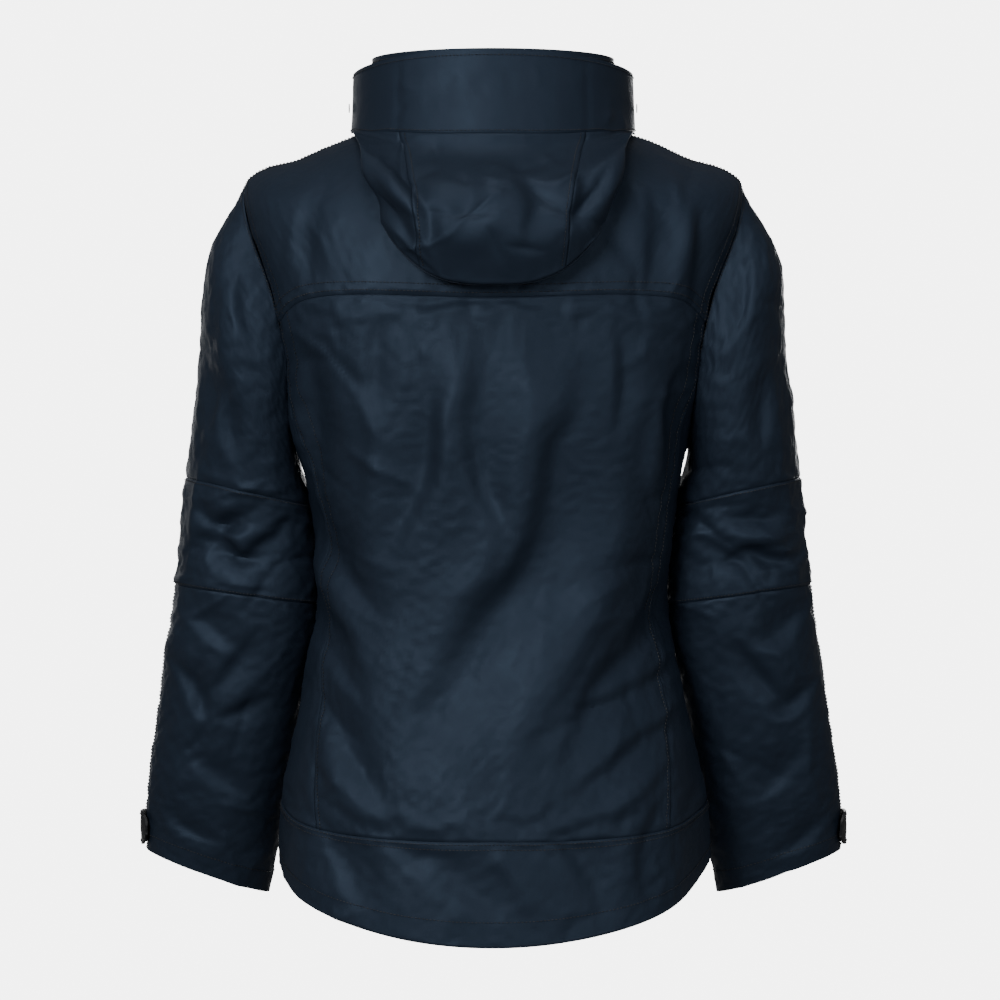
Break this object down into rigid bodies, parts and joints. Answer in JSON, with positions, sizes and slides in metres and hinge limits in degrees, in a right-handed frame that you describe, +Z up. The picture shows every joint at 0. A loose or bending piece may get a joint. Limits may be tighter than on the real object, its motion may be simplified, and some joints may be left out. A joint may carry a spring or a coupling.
{
  "type": "foul weather jacket",
  "caption": "Hooded waterproof sailing jacket with a zip front, stand collar, shaped elbows, cuff tabs and a drop-tail hem, shaped as if worn.",
  "frame": {"origin": "middle of the neck opening, level with the nape", "axes": "+Z up along the wearer's spine, +Y to the wearer's back, +X to the wearer's left"},
  "size_m": [0.6526, 0.3066, 0.7812],
  "materials": {
    "shell": "satin",
    "shell_inside": "matte",
    "lining": "matte",
    "fleece": "matte",
    "tab": "matte",
    "hook_and_loop": "matte",
    "webbing": "matte",
    "zip_tape": "matte",
    "zip_teeth": "satin",
    "slider_metal": "satin",
    "puller": "matte"
  },
  "bodies": {
    "jacket": {"back_hem_panel": "shell", "back_panel": "shell", "back_yoke": "shell", "collar_lining": "fleece", "collar_outer": "shell", "elbow_panel_back_left": "shell", "elbow_panel_back_right": "shell", "elbow_panel_front_left": "shell", "elbow_panel_front_right": "shell", "front_panel_left": "shell", "front_panel_right": "shell", "hanger_loop": "webbing", "hem_facing": "shell_inside", "lining_back": "lining", "lining_front_left": "lining", "lining_front_right": "lining", "pocket_bag_left": "lining", "pocket_bag_right": "lining", "pocket_zip_left": "zip_teeth", "pocket_zip_right": "zip_teeth", "side_panel_left": "shell", "side_panel_right": "shell", "storm_placket": "shell", "upper_sleeve_back_left": "shell", "upper_sleeve_back_right": "shell", "upper_sleeve_front_left": "shell", "upper_sleeve_front_right": "shell", "zip_bottom_stop": "zip_teeth", "zip_tape_left": "zip_tape", "zip_tape_right": "zip_tape", "zip_teeth_left": "zip_teeth", "zip_teeth_right": "zip_teeth"},
    "hood": {"hood_brim": "shell", "hood_centre_panel": "shell", "hood_cord_locks": "puller", "hood_eyelets": "slider_metal", "hood_side_panel_left": "shell", "hood_side_panel_right": "shell", "hood_under_layer": "shell_inside"},
    "forearm_left": {"lower_sleeve_back_left": "shell", "lower_sleeve_front_left": "shell", "cuff_facing_left": "shell_inside", "cuff_loop_patch_left": "hook_and_loop"},
    "cuff_tab_left": {"cuff_tab_left": "tab", "cuff_hook_patch_left": "hook_and_loop"},
    "pocket_slider_left": {"pocket_slider_left": "slider_metal"},
    "pocket_puller_left": {"pocket_puller_left": "puller"},
    "forearm_right": {"lower_sleeve_back_right": "shell", "lower_sleeve_front_right": "shell", "cuff_facing_right": "shell_inside", "cuff_loop_patch_right": "hook_and_loop"},
    "cuff_tab_right": {"cuff_tab_right": "tab", "cuff_hook_patch_right": "hook_and_loop"},
    "pocket_slider_right": {"pocket_slider_right": "slider_metal"},
    "pocket_puller_right": {"pocket_puller_right": "puller"},
    "zip_slider": {"zip_slider": "slider_metal"},
    "zip_puller": {"zip_puller": "puller"}
  },
  "joints": [
    {"name": "hood_lift", "type": "hinge", "parent": "jacket", "child": "hood", "pos_m": [0, 0.005, 0.042], "axis": [1, 0, 0], "range_deg": [0, 70]},
    {"name": "zip_slide", "type": "slide", "parent": "jacket", "child": "zip_slider", "axis": [0, -0.0823, -0.9966], "range_m": [0, 0.7], "deforming": ["zip_teeth_left", "zip_teeth_right"]},
    {"name": "zip_puller_swing", "type": "hinge", "parent": "zip_slider", "child": "zip_puller", "pos_m": [0, -0.08276, 0.05387], "axis": [-1, 0, 0], "range_deg": [0, 90]},
    {"name": "elbow_left_bend", "type": "hinge", "parent": "jacket", "child": "forearm_left", "pos_m": [0.222, -0.032, -0.369], "axis": [-1, 0, 0], "range_deg": [0, 60], "deforming": ["elbow_panel_back_left", "elbow_panel_front_left"]},
    {"name": "cuff_tab_left_peel", "type": "hinge", "parent": "forearm_left", "child": "cuff_tab_left", "pos_m": [0.2672, -0.1272, -0.64625], "axis": [0.1212, -0.1725, -0.9775], "range_deg": [0, 110]},
    {"name": "pocket_left_slide", "type": "slide", "parent": "jacket", "child": "pocket_slider_left", "axis": [0.0676, -0.1025, -0.9924], "range_m": [0, 0.095], "deforming": ["pocket_zip_left"]},
    {"name": "pocket_left_puller_swing", "type": "hinge", "parent": "pocket_slider_left", "child": "pocket_puller_left", "pos_m": [0.12039, -0.09414, -0.46793], "axis": [-0.8322, -0.5545, 0.0006], "range_deg": [0, 90]},
    {"name": "elbow_right_bend", "type": "hinge", "parent": "jacket", "child": "forearm_right", "pos_m": [-0.222, -0.032, -0.369], "axis": [-1, 0, 0], "range_deg": [0, 60], "deforming": ["elbow_panel_back_right", "elbow_panel_front_right"]},
    {"name": "cuff_tab_right_peel", "type": "hinge", "parent": "forearm_right", "child": "cuff_tab_right", "pos_m": [-0.2672, -0.1272, -0.64625], "axis": [0.1212, 0.1725, 0.9775], "range_deg": [0, 110]},
    {"name": "pocket_right_slide", "type": "slide", "parent": "jacket", "child": "pocket_slider_right", "axis": [-0.0676, -0.1025, -0.9924], "range_m": [0, 0.095], "deforming": ["pocket_zip_right"]},
    {"name": "pocket_right_puller_swing", "type": "hinge", "parent": "pocket_slider_right", "child": "pocket_puller_right", "pos_m": [-0.12039, -0.09414, -0.46793], "axis": [-0.8322, 0.5545, -0.0006], "range_deg": [0, 90]}
  ]
}
